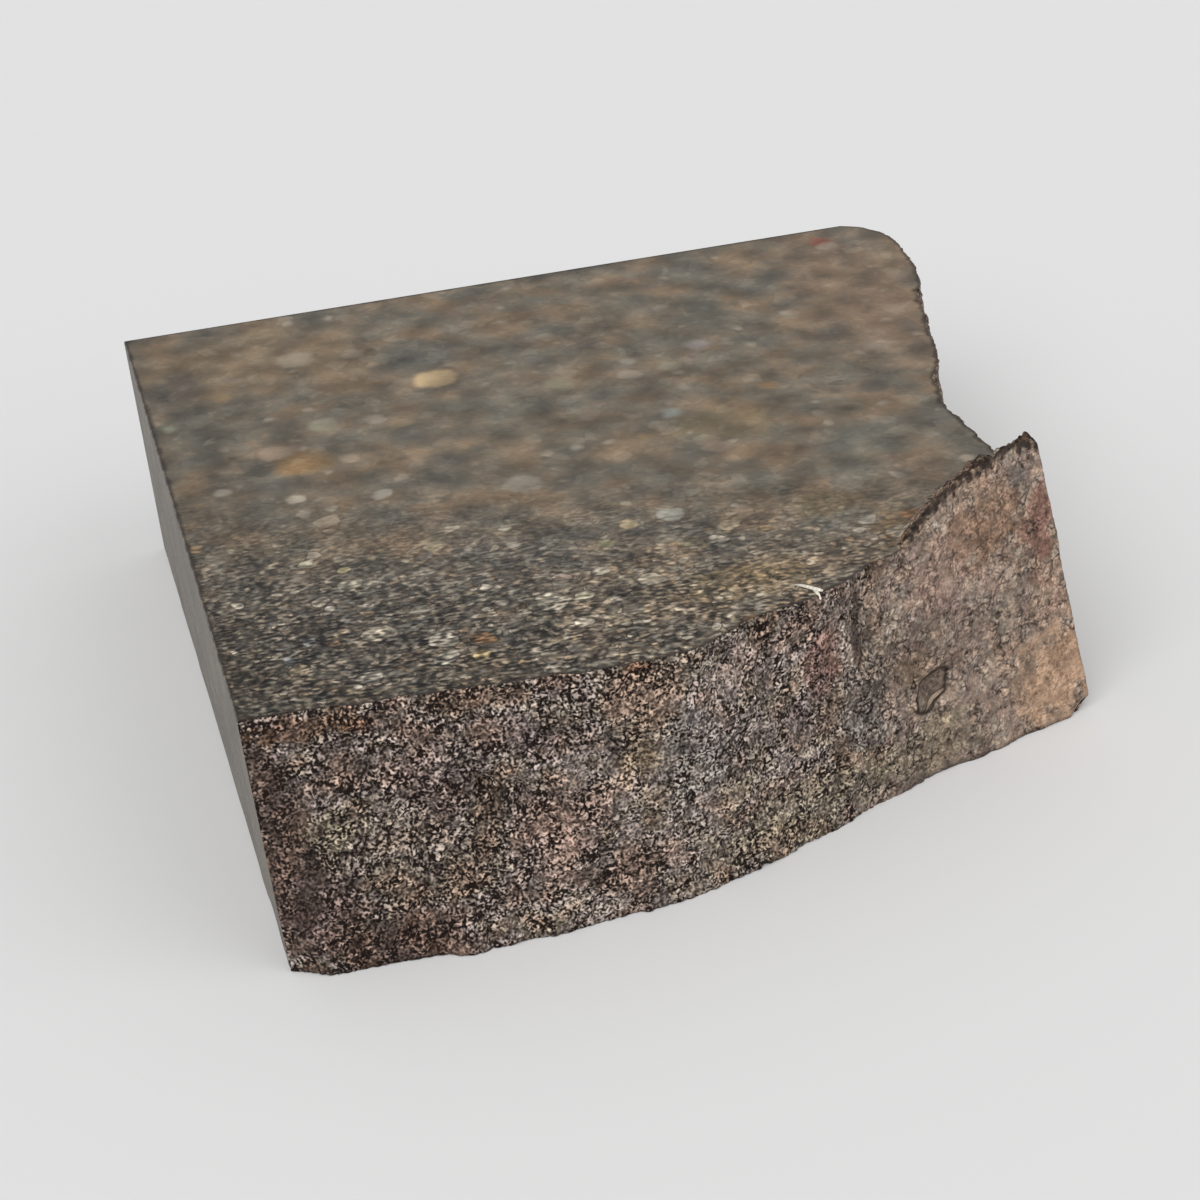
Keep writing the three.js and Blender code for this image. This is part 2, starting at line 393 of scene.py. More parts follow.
def make_slab(materials):
    """The whole stone as one closed surface: u runs once round the plan, v from the middle of the underside
    out to its foot, up the wall and in over the rings to the middle of the cut face."""
    walls, crevice = wall()
    rings, lip_crevice, on_lip = top_rings(walls[-1])
    grid = np.concatenate([walls, rings])
    rows, columns = grid.shape[:2]
    points = np.vstack([grid.reshape(-1, 3), [[*MIDDLE, -THICKNESS], [*MIDDLE, 0]]])
    foot_middle, top_middle = rows * columns, rows * columns + 1

    index = np.arange(rows * columns).reshape(rows, columns)
    beside = np.roll(index, -1, axis=1)
    quads = np.stack([index[:-1], beside[:-1], beside[1:], index[1:]], axis=-1).reshape(-1, 4)
    foot_fan = np.stack([beside[0], index[0], np.full(columns, foot_middle)], axis=-1)
    top_fan = np.stack([index[-1], beside[-1], np.full(columns, top_middle)], axis=-1)

    wall_kind = np.array([CRUST, BROKEN, SAWN, SAWN])[KIND]
    kind = np.tile(wall_kind, (rows - 1, 1))
    on_crest = smoothstep(walls[-1:, :, 2], LIP_FROM, LIP_AT)
    on_lip_faces = np.vstack([on_crest, on_lip])[:-1] > LIP_SHOWN
    kind[len(walls) - 1 :] = np.where(on_lip_faces, BROKEN, CUT)
    face_material = np.concatenate([kind.ravel(), np.full(columns, SAWN), np.full(columns, CUT)])

    from_rim, from_crest = edge_distances(walls, rings)
    attributes = {
        "crevice": np.append(np.concatenate([crevice, lip_crevice]).ravel(), [0, 0]),
        "from_rim": np.append(from_rim.ravel(), [FAR, FAR]),
        "from_crest": np.append(from_crest.ravel(), [FAR, FAR]),
    }
    faces = quads.tolist() + foot_fan.tolist() + top_fan.tolist()
    return mesh_object("slab_stone", points, faces, materials, face_material, attributes)


# The splinter that lies across the front edge: x, y, z, half its width, half its height.
SPLINTER_BLADE = [
    (21.66, 2.42, 0.01, 0.015, 0.01), (21.86, 2.2, 0.05, 0.065, 0.04), (22.06, 1.92, 0.09, 0.09, 0.055),
    (22.26, 1.64, 0.1, 0.105, 0.06), (22.46, 1.46, 0.08, 0.08, 0.05), (22.53, 1.41, 0.075, 0.03, 0.02),
]
SPLINTER_SPUR = [
    (22.22, 1.72, 0.08, 0.06, 0.05), (22.3, 1.42, 0.02, 0.075, 0.06), (22.34, 1.22, -0.1, 0.05, 0.05),
    (22.34, 1.18, -0.15, 0.02, 0.02),
]
SPLINTER_SIDES = 12
SPLINTER_STEPS = 8  # from one station to the next


def blade(stations):
    """A closed rod, its grid of points and its faces: at each place of the smooth curve through the stations
    stands an ellipse of half width w and half height h, centre + w cos(a) sideways + h sin(a) up."""
    centre, width, height = np.split(smooth_curve(stations, SPLINTER_STEPS), [3, 4], axis=1)
    along = np.gradient(centre, axis=0)
    sideways = np.stack([along[:, 1], -along[:, 0], np.zeros(len(along))], axis=1)
    sideways /= np.linalg.norm(sideways, axis=1, keepdims=True)
    angle = np.linspace(0, 2 * math.pi, SPLINTER_SIDES, endpoint=False)[:, None]
    across = (width * sideways)[:, None] * np.cos(angle)
    upward = (height * (0, 0, 1))[:, None] * np.sin(angle)
    points = (centre[:, None] + across + upward).reshape(-1, 3)
    index = np.arange(len(points)).reshape(-1, SPLINTER_SIDES)
    beside = np.roll(index, -1, axis=1)
    quads = np.stack([index[:-1], index[1:], beside[1:], beside[:-1]], axis=-1).reshape(-1, 4)
    return points, quads.tolist() + [index[0].tolist(), index[-1, ::-1].tolist()]


def make_splinter(material):
    """A pale mineral splinter about 1.5 mm long with a short spur that hooks over the front edge."""
    points, faces = blade(SPLINTER_BLADE)
    spur, spur_faces = blade(SPLINTER_SPUR)
    faces = faces + [[corner + len(points) for corner in face] for face in spur_faces]
    return mesh_object("splinter", np.vstack([points, spur]), faces, [material])


# ------------------------------------------------------------------------------
# Finishes

EYE = 2.2  # a share of brightness as the eye sees it is this power of it in light


def tone(red, green, blue):
    """A colour given as 0-255 values of a screen, in linear light."""
    channels = np.array([red, green, blue]) / 255
    linear = np.where(channels <= 0.04045, channels / 12.92, ((channels + 0.055) / 1.055) ** 2.4)
    return (*linear.tolist(), 1)


def add(tree, kind, sockets=None, **settings):
    """A new node. Its sockets are linked where they are given another node's output, and set otherwise."""
    node = tree.nodes.new(kind)
    for name, value in settings.items():
        setattr(node, name, value)
    for name, value in (sockets or {}).items():
        if isinstance(value, bpy.types.NodeSocket):
            tree.links.new(value, node.inputs[name])
        else:
            node.inputs[name].default_value = value
    return node


def figure(tree, operation, a, b=0.0, c=0.0):
    """The result of a Math node."""
    return add(tree, "ShaderNodeMath", {0: a, 1: b, 2: c}, operation=operation).outputs[0]


def vector(tree, operation, a, b):
    """The vector that a Vector Math node works out from two others."""
    return add(tree, "ShaderNodeVectorMath", {0: a, 1: b}, operation=operation).outputs[0]


def scaled(tree, arrow, factor):
    """A vector made this many times as long."""
    return add(tree, "ShaderNodeVectorMath", {0: arrow, "Scale": factor}, operation="SCALE").outputs[0]


def times(tree, *factors):
    """The product of two or more figures."""
    product = factors[0]
    for factor in factors[1:]:
        product = figure(tree, "MULTIPLY", product, factor)
    return product


def ramp(tree, value, low, high, to_low=0.0, to_high=1.0):
    """A smooth step from to_low, where the value is under low, to to_high, where it is over high."""
    sockets = {"Value": value, "From Min": low, "From Max": high, "To Min": to_low, "To Max": to_high}
    return add(tree, "ShaderNodeMapRange", sockets, interpolation_type="SMOOTHSTEP").outputs[0]


def blend(tree, mask, under, over):
    """The colour `over` laid on `under` as far as the mask says."""
    return add(tree, "ShaderNodeMix", {0: mask, 6: under, 7: over}, data_type="RGBA").outputs[2]


def lit(tree, colour, share):
    """The colour made darker or brighter: share scales its brightness as the eye sees it."""
    return scaled(tree, colour, figure(tree, "POWER", share, EYE))


def palette(tree, value, stops):
    """A colour picked along a row of (place, colour) stops."""
    node = add(tree, "ShaderNodeValToRGB", {"Fac": value})
    elements = node.color_ramp.elements
    elements[0].position, elements[0].color = stops[0][0], tone(*stops[0][1])
    elements[1].position, elements[1].color = stops[-1][0], tone(*stops[-1][1])
    for place, colour in stops[1:-1]:
        elements.new(place).color = tone(*colour)
    return node.outputs["Color"]


def pattern(tree, where, size, detail=0.0):
    """Noise of about this size in millimetres: its value, 0 to 1, and its colour."""
    node = add(tree, "ShaderNodeTexNoise", {"Vector": where, "Scale": 1 / size, "Detail": detail})
    return node.outputs["Fac"], node.outputs["Color"]


def shaken(tree, where, size, amount):
    """The coordinates pushed about by noise of this size, by up to this many millimetres."""
    push = pattern(tree, where, size)[1]
    both_ways = vector(tree, "SUBTRACT", push, (0.5, 0.5, 0.5))
    return vector(tree, "ADD", where, scaled(tree, both_ways, 2 * amount))


def centred(tree, where, size, detail=2.0):
    """Noise of about this size in millimetres, from -0.5 to 0.5."""
    return figure(tree, "SUBTRACT", pattern(tree, where, size, detail)[0], 0.5)


def between(tree, share, first, second):
    """The figure that lies this share of the way from the first to the second."""
    return add(tree, "ShaderNodeMix", {0: share, 2: first, 3: second}, data_type="FLOAT").outputs[0]


def attribute(tree, name):
    """A number that the mesh carries at each point."""
    return add(tree, "ShaderNodeAttribute", attribute_name=name).outputs["Fac"]


def effect(name, inputs, outputs):
    """An empty node group with these sockets: the group, its inputs and the node that takes its outputs."""
    group = bpy.data.node_groups.new(name, "ShaderNodeTree")
    for socket, default in inputs.items():
        kind = "NodeSocketVector" if isinstance(default, tuple) else "NodeSocketFloat"
        group.interface.new_socket(socket, in_out="INPUT", socket_type=kind).default_value = default
    for socket in outputs:
        group.interface.new_socket(socket, in_out="OUTPUT", socket_type="NodeSocketFloat")
    return group, group.nodes.new("NodeGroupInput").outputs, group.nodes.new("NodeGroupOutput")


def put(tree, group, **sockets):
    """An effect placed in a material: its outputs."""
    return add(tree, "ShaderNodeGroup", sockets, node_tree=group).outputs


def close(tree, end, **results):
    """Links results to an effect's outputs."""
    for name, value in results.items():
        tree.links.new(value, end.inputs[name])


def make_chondrules():
    """Round bodies strewn through the stone, one to a cube of Size at most. Share of the cubes hold one, and
    its radius runs from 0.5 to 1 of Radius, in millimetres. Body is its mask, which fades over Soft at its
    edge, Outline the dark joint round it, and Tone a number of its own."""
    inputs = {"Vector": (0, 0, 0), "Size": 1.0, "Share": 0.7, "Radius": 0.4, "Joint": 0.05, "Soft": 0.04}
    tree, start, end = effect("chondrules", inputs, ["Body", "Outline", "Tone"])
    scale = figure(tree, "DIVIDE", 1.0, start["Size"])
    sockets = {"Vector": start["Vector"], "Scale": scale, "Randomness": 0.9}
    cell = add(tree, "ShaderNodeTexVoronoi", sockets)
    chance = add(tree, "ShaderNodeSeparateColor", {0: cell.outputs["Color"]}).outputs
    radius = times(tree, start["Radius"], figure(tree, "MULTIPLY_ADD", chance["Green"], 0.5, 0.5))
    distance = times(tree, cell.outputs["Distance"], start["Size"])
    inside = figure(tree, "SUBTRACT", radius, distance)
    there = figure(tree, "LESS_THAN", chance["Red"], start["Share"])
    joint = figure(tree, "DIVIDE", figure(tree, "ABSOLUTE", inside), start["Joint"])
    body = times(tree, ramp(tree, inside, times(tree, start["Soft"], -0.3), start["Soft"]), there)
    outline = times(tree, ramp(tree, joint, 0.0, 1.0, 1.0, 0.0), there)
    close(tree, end, Body=body, Outline=outline, Tone=chance["Blue"])
    return tree


def make_chondrule():
    """One round body at Centre with this Radius: Body is its mask, Outline the dark joint round it."""
    inputs = {"Vector": (0, 0, 0), "Centre": (0, 0, 0), "Radius": 0.5, "Joint": 0.07, "Soft": 0.08}
    tree, start, end = effect("chondrule", inputs, ["Body", "Outline"])
    away = add(tree, "ShaderNodeVectorMath", {0: start["Vector"], 1: start["Centre"]}, operation="DISTANCE")
    inside = figure(tree, "SUBTRACT", start["Radius"], away.outputs["Value"])
    joint = figure(tree, "DIVIDE", figure(tree, "ABSOLUTE", inside), start["Joint"])
    body = ramp(tree, inside, times(tree, start["Soft"], -0.5), start["Soft"])
    close(tree, end, Body=body, Outline=ramp(tree, joint, 0.0, 1.0, 1.0, 0.0))
    return tree


def make_grains():
    """Grains packed side by side, about Size across. Tone is a number of its own for each of them, Joint is 1
    in the narrow gaps between them, and Dome rises from 0 there to 1 on their tops."""
    tree, start, end = effect("grains", {"Vector": (0, 0, 0), "Size": 0.35}, ["Tone", "Joint", "Dome"])
    scale = figure(tree, "DIVIDE", 1.0, start["Size"])
    sockets = {"Vector": start["Vector"], "Scale": scale, "Randomness": 1.0}
    cell = add(tree, "ShaderNodeTexVoronoi", sockets).outputs["Color"]
    edge = add(tree, "ShaderNodeTexVoronoi", sockets, feature="DISTANCE_TO_EDGE").outputs["Distance"]
    own = add(tree, "ShaderNodeSeparateColor", {0: cell}).outputs["Red"]
    close(tree, end, Tone=own, Joint=ramp(tree, edge, 0.0, 0.17, 1.0, 0.0), Dome=ramp(tree, edge, 0.0, 0.4))
    return tree


def make_grit():
    """Worm-like ridges and gaps of one width, about Size: two smooth noises of one size, one turned against
    the other, are added, and a smooth step takes their sum from 0 in the gaps to 1 on the ridges."""
    tree, start, end = effect("grit", {"Vector": (0, 0, 0), "Size": 0.17}, ["Height"])
    where = scaled(tree, start["Vector"], figure(tree, "DIVIDE", 1.0, start["Size"]))
    turn = {"Vector": where, "Axis": (1, 1, 1), "Angle": 1.0}
    turned = add(tree, "ShaderNodeVectorRotate", turn).outputs[0]
    both = figure(tree, "ADD", pattern(tree, where, 1.0)[0], pattern(tree, turned, 1.0)[0])
    close(tree, end, Height=ramp(tree, both, 0.72, 1.28))
    return tree


def make_patch():
    """A soft-edged patch round Centre that reaches Reach along each axis, its edge made uneven by Ragged."""
    inputs = {"Vector": (0, 0, 0), "Centre": (0, 0, 0), "Reach": (1, 1, 1), "Ragged": 0.5, "Noise": 0.5}
    tree, start, end = effect("patch", inputs, ["Mask"])
    offset = vector(tree, "SUBTRACT", start["Vector"], start["Centre"])
    shares = vector(tree, "DIVIDE", offset, start["Reach"])
    away = add(tree, "ShaderNodeVectorMath", {0: shares}, operation="LENGTH").outputs["Value"]
    uneven = times(tree, figure(tree, "SUBTRACT", start["Noise"], 0.5), start["Ragged"])
    close(tree, end, Mask=ramp(tree, figure(tree, "ADD", away, uneven), 0.45, 1.1, 1.0, 0.0))
    return tree


CHONDRULES = make_chondrules()
CHONDRULE = make_chondrule()
GRAINS_PACKED = make_grains()
GRIT = make_grit()
PATCH = make_patch()


def start_material(name):
    """An empty material, its tree, its surface shader and the stone's coordinates in millimetres."""
    material = bpy.data.materials.new(name)
    material.use_nodes = True
    tree = material.node_tree
    surface = tree.nodes["Principled BSDF"]
    own = add(tree, "ShaderNodeTexCoord").outputs["Object"]
    shift = (-cad_low.x / MM, BACK - cad_high.y / MM, -THICKNESS - cad_low.z / MM)
    sockets = {"Vector": own, "Location": shift, "Scale": (1 / MM,) * 3}
    return material, tree, surface, add(tree, "ShaderNodeMapping", sockets).outputs[0]


def axis(tree, where, letter):
    """One of the stone's coordinates."""
    return add(tree, "ShaderNodeSeparateXYZ", {0: where}).outputs[letter]


def patch(tree, where, place, unevenness, ragged):
    """The mask of a soft patch at a place, (centre, reach), its edge made this ragged by a noise."""
    centre, reach = place
    return put(tree, PATCH, Vector=where, Centre=centre, Reach=reach, Noise=unevenness, Ragged=ragged)["Mask"]


def patches(tree, where, colour, unevenness, ragged, rows):
    """Lays patches of colour on a colour: (centre, reach, colour, strength) each."""
    for centre, reach, over, strength in rows:
        mask = patch(tree, where, (centre, reach), unevenness, ragged)
        colour = blend(tree, times(tree, mask, strength), colour, tone(*over))
    return colour


def dress(tree, surface, colour, height, depth, roughness, gloss):
    """Gives the surface its colour, its roughness and gloss, and a relief of this depth in millimetres."""
    tree.links.new(colour, surface.inputs["Base Color"])
    surface.inputs["Roughness"].default_value = roughness
    surface.inputs["Specular IOR Level"].default_value = gloss
    bump = add(tree, "ShaderNodeBump", {"Height": height, "Distance": depth * MM, "Strength": 1.0})
    tree.links.new(bump.outputs[0], surface.inputs["Normal"])


# Colours of the crust's ridges, along a noise, and of the crumbs at its calm end, along the number that each
# of them carries.
CRUST_COLOURS = [
    (0.36, (226, 194, 175)), (0.45, (219, 197, 183)), (0.5, (215, 198, 190)), (0.56, (217, 201, 182)),
    (0.64, (226, 195, 172)),
]
CRUMB_COLOURS = [
    (0.0, (160, 140, 127)), (0.25, (202, 170, 151)), (0.5, (214, 191, 168)), (0.75, (182, 167, 152)),
    (1.0, (236, 200, 170)),
]
CALM_FROM, CALM_AT = 20, 28  # the worms turn into fainter crumbs between these places
CALM_LEAN = 0.15  # below the cut face they do so further right, by this share of the depth
HUES = 2.4  # size of the areas of one hue
WORMS = (0.11, 0.2)  # widths of the fine and the coarse worms
COARSE_SHARE = 0.3
CRUMBS = 0.42  # size of the crumbs
CRUMB_HUE = 0.7  # share of their own colours at the calm end
CRACKS = (0.1, 0.6)  # depth of the joints round them, where the stone is sound and where it is crumbly
CORNER_SOUND = 0.6  # share of that depth that the pale corner loses
SWING = (0.5, 1.15)  # how far the grit changes the brightness, in dull areas and in lively ones: partly the crust's own tone, partly painted shade in its gaps and painted highlight on its ridges
CALM_DULLER, CORNER_DULLER = 0.5, 0.4  # shares of it lost at the calm end and in the pale corner
CALM_FLATTER = 0.4  # share of the worms' relief lost at the calm end
STONE_FINISH = (0.05, 0.6, 0.12)  # depth of that relief, roughness and gloss
CLOUDS = [(0.45, 0.45), (1.5, 0.4), (3.2, 0.35)]  # noises of the brightness: size and strength
DARKER_LEFT = 0.105  # the left end is darker than the middle by this share of brightness
LEFT_FROM, LEFT_TO = 1, 18  # which is made up for between these places
CALM_LIGHTER = 0.075  # and the calm end is lighter by this one
RIM_DARKER = 0.08  # the band under the cut face's edge is darker too
RIM_BAND = (0.2, 1.2)  # and fades out between these distances from it
CREVICE_SHADE = 0.6  # strength of the painted shade in the crevices
FOOT_BAND, FOOT_SHADE = 0.45, 0.6  # height and strength of the painted contact shade along the foot
CREST_UNEVEN, CREST_BAND, CREST_DARK = 0.9, (1.0, 1.35), 0.9  # and the same of the lip's crest
CRUST_RAGGED = 2.0  # how uneven the coloured areas' edges are

TAN_CORNER = ((34.2, 6.6, -8.6), (2.7, 3, 2.7))  # a smoother pale corner: centre and reach
# Coloured areas of the front wall: centre, reach, colour, strength.
CRUST_PATCHES = [
    ((0.5, 0, -5), (1.3, 3, 6.5), (140, 110, 96), 0.65),
    ((2.2, -0.5, -8.2), (1.9, 2, 2.2), (152, 124, 120), 0.6),
    ((5.5, -0.8, -10.4), (3.6, 2, 1.7), (142, 106, 88), 0.6),
    ((2.2, -0.2, -0.6), (2.6, 2, 0.6), (198, 148, 114), 0.6),
    ((4.3, -0.4, -0.75), (0.8, 2, 0.45), (236, 168, 122), 0.5),
    ((2.8, -0.5, -5.1), (1.1, 2, 0.8), (232, 216, 174), 0.45),
    ((6.5, -0.7, -3.6), (1.8, 2, 1.8), (202, 188, 188), 0.45),
    ((5.2, -0.7, -6.2), (2.6, 2, 2.2), (214, 198, 174), 0.35),
    ((11, -1.1, -6.6), (2.2, 2, 2.8), (216, 178, 162), 0.4),
    ((10.3, -1, -2.2), (1.3, 2, 1.3), (172, 154, 154), 0.55),
    ((9.5, -0.9, -0.5), (1.6, 2, 0.5), (190, 150, 128), 0.5),
    ((14.3, -1, -3.8), (0.9, 2, 1.7), (238, 206, 166), 0.5),
    ((14.6, -0.8, -0.2), (0.7, 2, 0.35), (236, 170, 126), 0.6),
    ((16.9, -0.8, -4.6), (1.7, 3, 3.2), (196, 194, 192), 0.5),
    ((18.2, -0.15, -6.9), (0.9, 2, 1.2), (236, 214, 176), 0.4),
    ((19.4, 0.2, -1.5), (1.8, 3, 1.2), (232, 202, 184), 0.4),
    ((22.4, 1.5, -2.9), (0.95, 2, 1.8), (184, 126, 112), 0.55),
    ((21.3, 1.1, -5.3), (1.7, 3, 1.4), (160, 140, 142), 0.5),
    ((24.5, 2.5, -6.5), (1.3, 3, 2), (164, 165, 161), 0.5),
    ((24.1, 2.2, -2.4), (0.3, 2, 2.4), (84, 70, 62), 0.75),
    ((21.5, 1, -9.2), (4.5, 4, 1.9), (208, 196, 166), 0.5),
    ((27, 4, -9.4), (3.5, 4, 1.6), (206, 192, 162), 0.5),
    ((28.3, 4.4, -1.8), (2.2, 3, 2), (192, 158, 145), 0.5),
    ((29.5, 4.8, -4.8), (1.7, 3, 1.5), (180, 156, 144), 0.4),
    ((27.2, 3.9, -5.6), (1.2, 2, 1), (222, 192, 156), 0.35),
    ((27.1, 3.8, -7.2), (0.6, 2, 0.7), (228, 204, 176), 0.55),
    ((30.8, 5.2, -0.4), (2.2, 3, 2.2), (174, 136, 107), 0.65),
    ((32.1, 5.8, 1.2), (0.6, 2, 0.7), (126, 122, 117), 0.7),
    ((33.1, 6.1, -1.5), (0.9, 2, 2.6), (164, 112, 98), 0.7),
    ((33.5, 6.3, -5), (1.4, 3, 1.5), (220, 182, 154), 0.45),
    (TAN_CORNER[0], TAN_CORNER[1], (243, 201, 167), 0.9),
]
# Near black painted shade, laid in the grit's gaps, in crevices and along the foot.
GAP_SHADE = (24, 14, 10)
CREST_COLOURS = [(0.4, (34, 27, 23)), (0.55, (62, 51, 44)), (0.66, (124, 104, 86))]

# The dark oval inclusion of the front wall and the pale ridge beside it: centre, half axes in the plane of
# the wall, and the angle in degrees that each leans over, round the wall's outward direction.
INCLUSION = ((27.85, 4.08, -6.9), (0.55, 1.0), 46)
RIDGE = ((28.0, 4.14, -7.35), (0.09, 0.62), 63)
WALL_FACES = (0.38, -0.92, 0)
INCLUSION_COLOURS = [(0.35, (66, 58, 52)), (0.65, (132, 118, 107))]
INCLUSION_JOINT, RIDGE_JOINT, RIDGE_COLOUR = (30, 24, 20), (40, 32, 27), (176, 156, 136)


def oval(tree, where, place, uneven, joint):
    """A leaning oval on the front wall: its mask and its outline."""
    centre, axes, lean = place
    sockets = {"Vector": where, "Center": centre, "Axis": WALL_FACES, "Angle": math.radians(lean)}
    upright = add(tree, "ShaderNodeVectorRotate", sockets).outputs[0]
    squeeze = (1 / axes[0], 0, 1 / axes[1])
    circle = shaken(tree, vector(tree, "MULTIPLY", upright, squeeze), 0.9, uneven)
    middle = tuple(np.multiply(centre, squeeze))
    return put(tree, CHONDRULE, Vector=circle, Centre=middle, Radius=1.0, Joint=joint, Soft=0.2)


def inclusion(tree, where, colour):
    """Lays the dark oval inclusion and the pale ridge beside it on a colour."""
    found = oval(tree, where, INCLUSION, 0.22, 0.22)
    mottled = palette(tree, pattern(tree, where, 0.2, 2.0)[0], INCLUSION_COLOURS)
    colour = blend(tree, times(tree, found["Body"], 0.7), colour, mottled)
    colour = blend(tree, times(tree, found["Outline"], 0.9), colour, tone(*INCLUSION_JOINT))
    ridge = oval(tree, where, RIDGE, 0.2, 0.8)
    colour = blend(tree, times(tree, ridge["Outline"], 0.7), colour, tone(*RIDGE_JOINT))
    return blend(tree, times(tree, ridge["Body"], 0.8), colour, tone(*RIDGE_COLOUR))


def less(tree, mask, loss):
    """1 where the mask is 0, and less by this much where it is 1."""
    return figure(tree, "MULTIPLY_ADD", mask, -loss, 1.0)


def grit_height(tree, where, worms, calmer, corner, uneven, crumb_joint):
    """How high the grit stands, about 0 to 1: the worms, which give way at the calm end to rounder crumbs
    with a share of them. The joints round the crumbs cut into both, deeper in places, least in the corner."""
    crumbs = figure(tree, "MULTIPLY_ADD", centred(tree, where, 0.3, 3.0), 1.4, times(tree, worms, 0.6))
    height = between(tree, calmer, worms, figure(tree, "ADD", crumbs, 0.25))
    cracks = times(tree, ramp(tree, uneven, 0.4, 0.62, *CRACKS), less(tree, corner, CORNER_SOUND))
    return figure(tree, "SUBTRACT", figure(tree, "ADD", height, 0.07), times(tree, crumb_joint, cracks))


def wall_light(tree, where, height, calmer, corner, lighter):
    """The light of a natural wall. Its share of brightness is `lighter`, less at the left end and under the
    cut face's edge, more at the calm end, and swings with the grit's height, partly the crust's own tone,
    partly painted shade in its gaps and painted highlight on its ridges, and with three sizes of cloud."""
    swing = ramp(tree, pattern(tree, where, 0.7, 1.0)[0], 0.36, 0.6, *SWING)
    swing = times(tree, swing, less(tree, calmer, CALM_DULLER), less(tree, corner, CORNER_DULLER))
    share = ramp(tree, axis(tree, where, "X"), LEFT_FROM, LEFT_TO, lighter - DARKER_LEFT, lighter)
    share = figure(tree, "MULTIPLY_ADD", calmer, CALM_LIGHTER, share)
    share = figure(tree, "MULTIPLY_ADD", figure(tree, "SUBTRACT", height, 0.5), swing, share)
    rim = ramp(tree, attribute(tree, "from_rim"), *RIM_BAND, -RIM_DARKER, 0.0)
    share = figure(tree, "ADD", share, rim)
    for size, strength in CLOUDS:
        share = figure(tree, "MULTIPLY_ADD", centred(tree, where, size), strength, share)
    return figure(tree, "POWER", figure(tree, "MAXIMUM", share, 0.0), EYE)


def dark_edges(tree, where, colour, uneven):
    """Lays dark crumbly stone on a colour along the lip's crest, and near black painted shade in crevices and
    at the stone's foot."""
    ragged = pattern(tree, where, 0.3, 2.0)[0]
    both = figure(tree, "ADD", ragged, uneven)
    crest = figure(tree, "MULTIPLY_ADD", both, CREST_UNEVEN, attribute(tree, "from_crest"))
    crumbly = palette(tree, ragged, CREST_COLOURS)
    colour = blend(tree, ramp(tree, crest, *CREST_BAND, CREST_DARK, 0.0), colour, crumbly)
    # painted contact shade along the stone's foot
    foot = ramp(tree, axis(tree, where, "Z"), -THICKNESS, -THICKNESS + FOOT_BAND, FOOT_SHADE, 0.0)
    # painted shade in the crevices
    dark = figure(tree, "MAXIMUM", foot, times(tree, attribute(tree, "crevice"), CREVICE_SHADE))
    return blend(tree, dark, colour, tone(*GAP_SHADE))


def natural_stone(name, colours, coloured_areas, calm, lighter):
    """A natural surface of worm-like grit, near black with painted shade in its crevices and at its foot, and
    dark along the lip's crest.
    Its hue changes slowly and its brightness fast. Calm says how far the worms give way to crumbs past
    CALM_AT. Only the worms are raised."""
    material, tree, surface, where = start_material(name)
    calm_place = figure(tree, "MULTIPLY_ADD", axis(tree, where, "Z"), CALM_LEAN, axis(tree, where, "X"))
    calmer = ramp(tree, calm_place, CALM_FROM, CALM_AT, 0.0, calm)
    uneven = pattern(tree, where, 0.8, 4.0)[0]
    crumb = put(tree, GRAINS_PACKED, Vector=shaken(tree, where, 0.3, 0.15), Size=CRUMBS)
    fine, coarse = (put(tree, GRIT, Vector=where, Size=size)["Height"] for size in WORMS)
    worms = between(tree, COARSE_SHARE, fine, coarse)
    corner = patch(tree, where, TAN_CORNER, uneven, CRUST_RAGGED)

    colour = palette(tree, pattern(tree, where, HUES, 2.0)[0], colours)
    crumb_colour = palette(tree, crumb["Tone"], CRUMB_COLOURS)
    colour = blend(tree, times(tree, calmer, CRUMB_HUE), colour, crumb_colour)
    colour = patches(tree, where, colour, uneven, CRUST_RAGGED, coloured_areas)
    height = grit_height(tree, where, worms, calmer, corner, uneven, crumb["Joint"])
    light = wall_light(tree, where, height, calmer, corner, lighter)
    # painted light and shade: from near black painted shade where the light share is 0 up to the wall's colour
    colour = blend(tree, light, tone(*GAP_SHADE), colour)
    if coloured_areas:
        colour = inclusion(tree, where, colour)
    colour = dark_edges(tree, where, colour, uneven)
    dress(tree, surface, colour, times(tree, worms, less(tree, calmer, CALM_FLATTER)), *STONE_FINISH)
    return material


def make_crust():
    """The natural front wall: coarse brown crust with coloured areas and a smoother right-hand end."""
    return natural_stone("crust", CRUST_COLOURS, CRUST_PATCHES, 1.0, 0.605)


BROKEN_COLOURS = [
    (0.38, (176, 142, 122)), (0.46, (202, 174, 154)), (0.54, (192, 178, 164)), (0.62, (220, 178, 142)),
]


def make_broken():
    """The broken right-hand side and the back of the lip: rough brown stone."""
    return natural_stone("broken_stone", BROKEN_COLOURS, [], 0.5, 0.58)


# Colours of the cut face's ground, along a noise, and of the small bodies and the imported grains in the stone,
# along the number that each one carries.
GROUND_COLOURS = [
    (0.36, (99, 95, 85)), (0.46, (109, 100, 86)), (0.54, (118, 104, 86)), (0.64, (128, 107, 84)),
]
BODY_COLOURS = [
    (0.0, (62, 57, 52)), (0.14, (90, 86, 81)), (0.3, (128, 118, 104)), (0.5, (158, 149, 133)),
    (0.7, (142, 125, 101)), (0.84, (138, 112, 82)), (1.0, (182, 172, 156)),
]
GRAIN_COLOURS = [
    (0.0, (58, 53, 48)), (0.2, (86, 81, 74)), (0.4, (110, 101, 87)), (0.55, (102, 100, 95)),
    (0.7, (128, 110, 88)), (0.85, (148, 138, 122)), (1.0, (176, 166, 150)),
]
GROUND_SHARE = 0.2  # of the ground's own colour in the bodies and grains
DARK_JOINT = (44, 35, 28)
# Grains packed over the cut face: their size, and their strength at the back and at the front.
PACKED = [(0.75, 0.17, 0.5), (0.36, 0.09, 0.55)]

